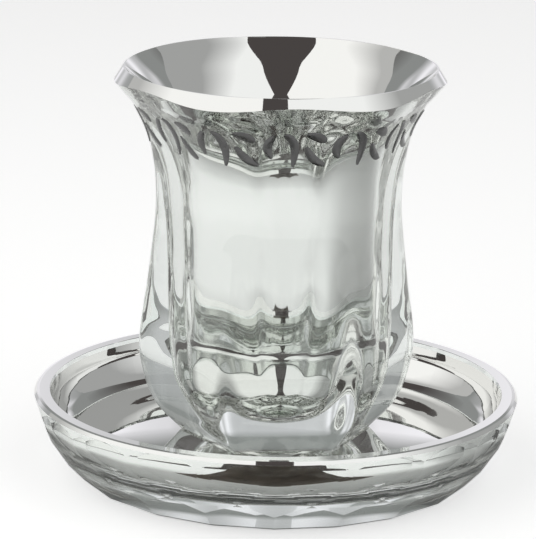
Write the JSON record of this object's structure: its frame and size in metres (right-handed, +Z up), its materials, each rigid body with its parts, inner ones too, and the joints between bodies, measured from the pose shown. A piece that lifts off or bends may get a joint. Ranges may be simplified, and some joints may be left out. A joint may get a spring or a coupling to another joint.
{
  "type": "kiddush cup with saucer",
  "caption": "Heavy crystal ceremonial wine cup with soft upright panels and a flared silvered lip, standing on a faceted, silvered saucer.",
  "frame": {"origin": "centre of the saucer's foot, on the surface that it stands on", "axes": "+Z up along the axis of the cup and saucer, -Y towards the front panel of the cup"},
  "size_m": [0.1186, 0.1186, 0.1013],
  "materials": {
    "cup_crystal": "clear polished crystal over a silvered bowl and lip",
    "saucer_crystal": "clear polished crystal, cut outside and silvered on the dish and rim"
  },
  "bodies": {
    "root": {"cup": "cup_crystal", "saucer": "saucer_crystal"}
  },
  "joints": []
}
